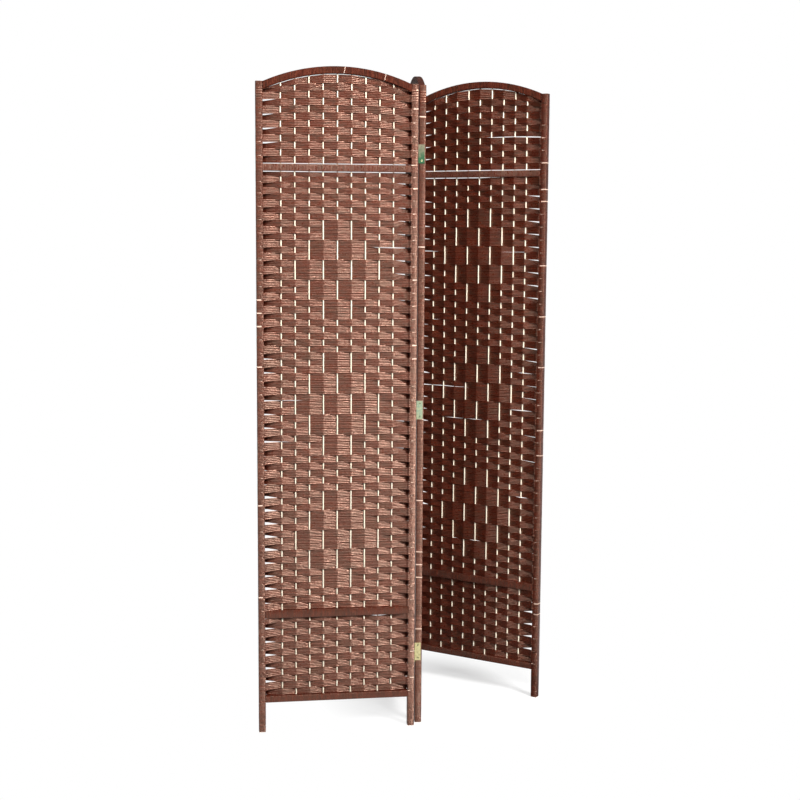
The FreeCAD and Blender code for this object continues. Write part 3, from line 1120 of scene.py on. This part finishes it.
class SCREEN_OT_stage(bpy.types.Operator):
    """Sets up the floor, the light from all around, the lamps and the camera"""

    bl_idname = "screen.stage"
    bl_label = "Floor, light and camera"

    def execute(self, context):
        settings = context.scene.screen_stage
        context.scene.view_settings.view_transform = "Standard"
        self.floor(settings)
        self.surround(context, settings)
        for name in LAMPS:
            self.lamp(settings, name)
        self.camera(context, settings)
        return {"FINISHED"}

    def floor(self, settings):
        """White floor that throws little light back and shows the camera soft shading near the screen."""
        deselect()
        bpy.ops.mesh.primitive_plane_add(size=settings.floor_size)
        floor = bpy.context.object
        floor.name = "floor"
        look = Finish("floor_white", Roughness=0.9, Specular_IOR_Level=0.0)
        path = look.node("ShaderNodeLightPath")
        straight = path.out("Is Camera Ray")
        away = look.node("ShaderNodeVectorMath", {0: look.object_place(), 1: PATCH_PLACE}, operation="DISTANCE")
        near = (1.0 - away.past(PATCH_RADIUS, 1 / PATCH_RIM)).clamped()
        look.set("Base Color", look.mix(straight, FLOOR_GREY, FLOOR_WHITE))
        share = (straight * (1 - near * settings.shadow_share)).larger(path.out("Is Glossy Ray") * (1 - near))
        white = look.node("ShaderNodeEmission", {"Color": WHITE, "Strength": 1.0 + near * PATCH_GLOW})
        look.blend(share, Value(look, look.surface.outputs[0]), white, "Material Output")
        floor.data.materials.append(look.material)

    def surround(self, context, settings):
        """White for the camera, faint light for the screen, and a little white mirrored from behind it."""
        world = bpy.data.worlds.new("studio")
        world.use_nodes = True
        context.scene.world = world
        look = Look(world.node_tree)
        backdrop = look.node("ShaderNodeBackground", {"Color": WHITE, "Strength": 1.0})
        fill = look.node("ShaderNodeBackground", {"Color": WARM_WHITE, "Strength": settings.fill_level})
        path = look.node("ShaderNodeLightPath")
        direction = look.node("ShaderNodeTexCoord").out("Generated")
        behind = (look.part(direction, "Y") * MIRRORED_RISE).clamped()
        white = path.out("Is Camera Ray").larger(path.out("Is Glossy Ray") * behind * MIRRORED_SHARE)
        look.blend(white, fill, backdrop, "World Output")

    def lamp(self, settings, name):
        azimuth = getattr(settings, name + "_azimuth")
        flat = math.cos(settings.lamp_elevation)
        toward = Vector((flat * math.cos(azimuth), flat * math.sin(azimuth), math.sin(settings.lamp_elevation)))
        aim = Vector((0, 0, ARCH_TOP / 2))
        bpy.ops.object.light_add(type="AREA", location=aim + toward * settings.lamp_distance)
        lamp = bpy.context.object
        lamp.name = name
        lamp.rotation_euler = toward.to_track_quat("Z", "Y").to_euler()
        lamp.data.size = settings.lamp_size
        lamp.data.energy = getattr(settings, name + "_power")

    def camera(self, context, settings):
        bpy.ops.object.camera_add(location=settings.camera_place)
        camera = bpy.context.object
        camera.name = "camera"
        turn = Matrix.Rotation(settings.camera_yaw, 3, "Z")
        tilt = Matrix.Rotation(QUARTER_TURN + settings.camera_pitch, 3, "X")
        roll = Matrix.Rotation(settings.camera_roll, 3, "Z")
        camera.rotation_euler = (turn @ tilt @ roll).to_euler()
        camera.data.sensor_width = FILM_WIDTH
        camera.data.lens = settings.lens
        context.scene.camera = camera


OPERATORS = (SCREEN_OT_bare_wood, SCREEN_OT_stile_turns, SCREEN_OT_rail_turns, SCREEN_OT_stakes, SCREEN_OT_weave,
             SCREEN_OT_hinges, SCREEN_OT_stage)
SETTINGS = {
    "screen_weave": ScreenWeaveSettings,
    "screen_bars": ScreenBarSettings,
    "screen_hinges": ScreenHingeSettings,
    "screen_colours": ScreenColours,
    "screen_stage": ScreenStageSettings,
}


class VIEW3D_PT_screen(bpy.types.Panel):
    """Lists the settings and the steps that dress the screen"""

    bl_label = "Woven screen"
    bl_idname = "VIEW3D_PT_screen"
    bl_space_type = "VIEW_3D"
    bl_region_type = "UI"
    bl_category = "Screen"

    def draw(self, context):
        for operator in OPERATORS:
            self.layout.operator(operator.bl_idname)
        for name, group in SETTINGS.items():
            box = self.layout.box()
            for setting in group.__annotations__:
                box.prop(getattr(context.scene, name), setting)


CLASSES = tuple(SETTINGS.values()) + OPERATORS + (VIEW3D_PT_screen,)


def register():
    for cls in CLASSES:
        bpy.utils.register_class(cls)
    for name, group in SETTINGS.items():
        setattr(bpy.types.Scene, name, PointerProperty(type=group))


def unregister():
    for name in SETTINGS:
        delattr(bpy.types.Scene, name)
    for cls in reversed(CLASSES):
        bpy.utils.unregister_class(cls)


def main():
    register()
    bpy.ops.screen.bare_wood()
    bpy.ops.screen.stile_turns()
    bpy.ops.screen.rail_turns()
    bpy.ops.screen.stakes()
    bpy.ops.screen.weave()
    bpy.ops.screen.hinges()
    bpy.ops.screen.stage()


if __name__ == "__main__":
    main()
